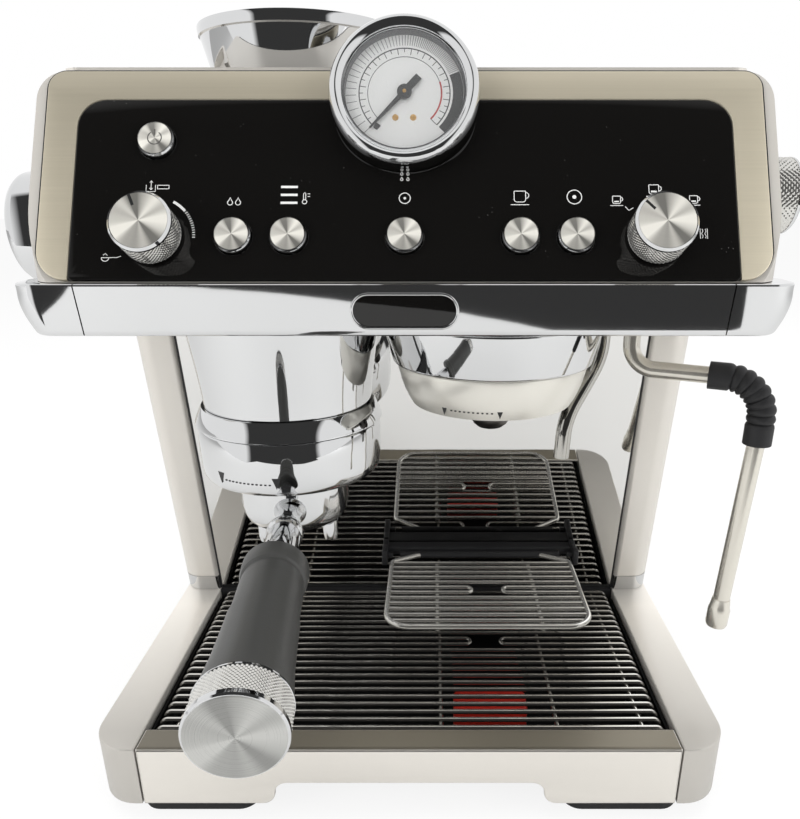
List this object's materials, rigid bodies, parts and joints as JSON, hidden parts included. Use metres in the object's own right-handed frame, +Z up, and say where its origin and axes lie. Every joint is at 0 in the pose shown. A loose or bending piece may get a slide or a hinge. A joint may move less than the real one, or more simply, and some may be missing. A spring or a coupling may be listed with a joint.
{
  "type": "espresso machine",
  "caption": "Bean to cup style espresso machine with a sloped control panel, a pressure gauge, a tamping station, a brew group, a steam wand, a folding cup shelf and a drip tray.",
  "frame": {"origin": "centre of the bottom of the bounding box, on the surface that the feet stand on", "axes": "+X to the right seen from the front, +Y to the back, +Z up; the control panel faces -Y"},
  "size_m": [0.381, 0.4772, 0.4108],
  "materials": {
    "chrome": "polished chrome plate",
    "satin_steel": "satin pale steel",
    "brushed_steel": "warm brushed steel, brushed level",
    "mirror_steel": "mirror polished sheet",
    "black_glass": "gloss black panel",
    "dark_plastic": "matt black moulding",
    "charcoal_grip": "satin charcoal moulding",
    "rubber": "black rubber",
    "aluminium": "turned, radially brushed",
    "red_plastic": "red float",
    "dial_white": "off-white printed dial",
    "clear_glass": "clear gauge glass",
    "smoke_plastic": "smoked clear plastic"
  },
  "bodies": {
    "machine": {"base_chassis": "dark_plastic", "base_casing_left": "satin_steel", "base_casing_right": "satin_steel", "foot_front_left": "rubber", "foot_rear_left": "rubber", "foot_front_right": "rubber", "foot_rear_right": "rubber", "power_inlet": "dark_plastic", "side_panel_left": "satin_steel", "side_panel_right": "satin_steel", "back_panel": "mirror_steel", "rear_housing": "dark_plastic", "head_body": "satin_steel", "panel_frame": "brushed_steel", "control_glass": "black_glass", "lip": "chrome", "gauge_bezel": "chrome", "gauge_dial": "dial_white", "gauge_glass": "clear_glass", "station_sleeve": "chrome", "station_band": "chrome", "station_collar": "chrome", "group_shroud": "chrome", "group_ring": "satin_steel", "shower_screen": "dark_plastic", "water_spout": "chrome", "steam_socket": "chrome", "shelf_carrier": "dark_plastic", "top_cover": "satin_steel", "hopper": "chrome"},
    "drip_tray": {"tray_tub": "dark_plastic", "tray_front": "satin_steel"},
    "drip_grille": {"tray_grille": "chrome"},
    "tray_full_float": {"tray_float": "red_plastic"},
    "grind_knob": {"knob_left": "aluminium"},
    "function_knob": {"knob_right": "aluminium"},
    "pressure_needle": {"gauge_needle": "dark_plastic"},
    "tamp_lever": {"lever_arm": "chrome", "lever_grip": "charcoal_grip"},
    "tamper_ram": {"tamper": "aluminium"},
    "filter_holder": {"portafilter": "chrome", "filter_basket": "aluminium", "portafilter_grip": "charcoal_grip", "portafilter_cap": "aluminium"},
    "steam_wand": {"wand_pipe": "chrome", "wand_sleeve": "rubber", "wand_tube": "chrome"},
    "steam_tap": {"steam_knob": "aluminium"},
    "folding_shelf": {"cup_shelf": "chrome"},
    "bean_lid": {"hopper_lid": "smoke_plastic"},
    "burr": {"grinder_cone": "aluminium"},
    "tank": {"water_tank": "smoke_plastic"},
    "tank_cap": {"tank_lid": "dark_plastic"},
    "key_1": {"button_1": "aluminium"},
    "key_2": {"button_2": "aluminium"},
    "key_3": {"button_3": "aluminium"},
    "key_4": {"button_4": "aluminium"},
    "key_5": {"button_5": "aluminium"},
    "power_key": {"button_power": "aluminium"}
  },
  "joints": [
    {"name": "press_key_1", "type": "slide", "parent": "machine", "child": "key_1", "axis": [0, 0.887, -0.4617], "range_m": [0, 0.002], "stiffness_N_per_m": 400},
    {"name": "press_key_2", "type": "slide", "parent": "machine", "child": "key_2", "axis": [0, 0.887, -0.4617], "range_m": [0, 0.002], "stiffness_N_per_m": 400},
    {"name": "press_key_3", "type": "slide", "parent": "machine", "child": "key_3", "axis": [0, 0.887, -0.4617], "range_m": [0, 0.002], "stiffness_N_per_m": 400},
    {"name": "press_key_4", "type": "slide", "parent": "machine", "child": "key_4", "axis": [0, 0.887, -0.4617], "range_m": [0, 0.002], "stiffness_N_per_m": 400},
    {"name": "press_key_5", "type": "slide", "parent": "machine", "child": "key_5", "axis": [0, 0.887, -0.4617], "range_m": [0, 0.002], "stiffness_N_per_m": 400},
    {"name": "press_power_key", "type": "slide", "parent": "machine", "child": "power_key", "axis": [0, 0.887, -0.4617], "range_m": [0, 0.002], "stiffness_N_per_m": 400},
    {"name": "turn_grind_knob", "type": "hinge", "parent": "machine", "child": "grind_knob", "pos_m": [-0.1117, -0.09226, 0.30751], "axis": [0, -0.887, 0.4617], "range_deg": [-135, 135]},
    {"name": "turn_function_knob", "type": "hinge", "parent": "machine", "child": "function_knob", "pos_m": [0.1143, -0.09226, 0.30751], "axis": [0, -0.887, 0.4617], "range_deg": [-60, 60]},
    {"name": "swing_needle", "type": "hinge", "parent": "machine", "child": "pressure_needle", "pos_m": [0.0013, -0.06613, 0.36606], "axis": [0, -0.9304, 0.3665], "range_deg": [-250, 0]},
    {"name": "pull_tamp_lever", "type": "hinge", "parent": "machine", "child": "tamp_lever", "pos_m": [-0.1837, -0.04792, 0.309], "axis": [1, 0, 0], "range_deg": [0, 100]},
    {"name": "press_tamper", "type": "slide", "parent": "machine", "child": "tamper_ram", "axis": [0, 0, -1], "range_m": [0, 0.03]},
    {"name": "turn_filter_holder", "type": "hinge", "parent": "machine", "child": "filter_holder", "pos_m": [-0.0667, -0.03992, 0.1868], "axis": [0, 0, 1], "range_deg": [-45, 0]},
    {"name": "swivel_wand", "type": "hinge", "parent": "machine", "child": "steam_wand", "pos_m": [0.1213, -0.04392, 0.245], "axis": [0, 0, 1], "range_deg": [-80, 15]},
    {"name": "turn_steam_tap", "type": "hinge", "parent": "machine", "child": "steam_tap", "pos_m": [0.1813, -0.04892, 0.3245], "axis": [1, 0, 0], "range_deg": [0, 120]},
    {"name": "fold_shelf", "type": "hinge", "parent": "machine", "child": "folding_shelf", "pos_m": [0.0465, 0.01808, 0.089], "axis": [-1, 0, 0], "range_deg": [0, 75]},
    {"name": "pull_tray", "type": "slide", "parent": "machine", "child": "drip_tray", "axis": [0, -1, 0], "range_m": [0, 0.15]},
    {"name": "lift_grille", "type": "slide", "parent": "drip_tray", "child": "drip_grille", "axis": [0, -0.165, 0.9863], "range_m": [0, 0.028]},
    {"name": "rise_float", "type": "slide", "parent": "drip_tray", "child": "tray_full_float", "axis": [0, 0, 1], "range_m": [0, 0.004]},
    {"name": "lift_bean_lid", "type": "slide", "parent": "machine", "child": "bean_lid", "axis": [0, 0, 1], "range_m": [0, 0.06]},
    {"name": "turn_burr", "type": "hinge", "parent": "machine", "child": "burr", "pos_m": [-0.0607, 0.02808, 0.34], "axis": [0, 0, 1], "continuous": true},
    {"name": "lift_tank", "type": "slide", "parent": "machine", "child": "tank", "axis": [0, 0, 1], "range_m": [0, 0.25]},
    {"name": "lift_tank_cap", "type": "slide", "parent": "tank", "child": "tank_cap", "axis": [0, 0, 1], "range_m": [0, 0.05]}
  ],
  "couplings": [
    {"joint": "press_tamper", "follows": "pull_tamp_lever", "m_per_rad": 0.01718}
  ]
}
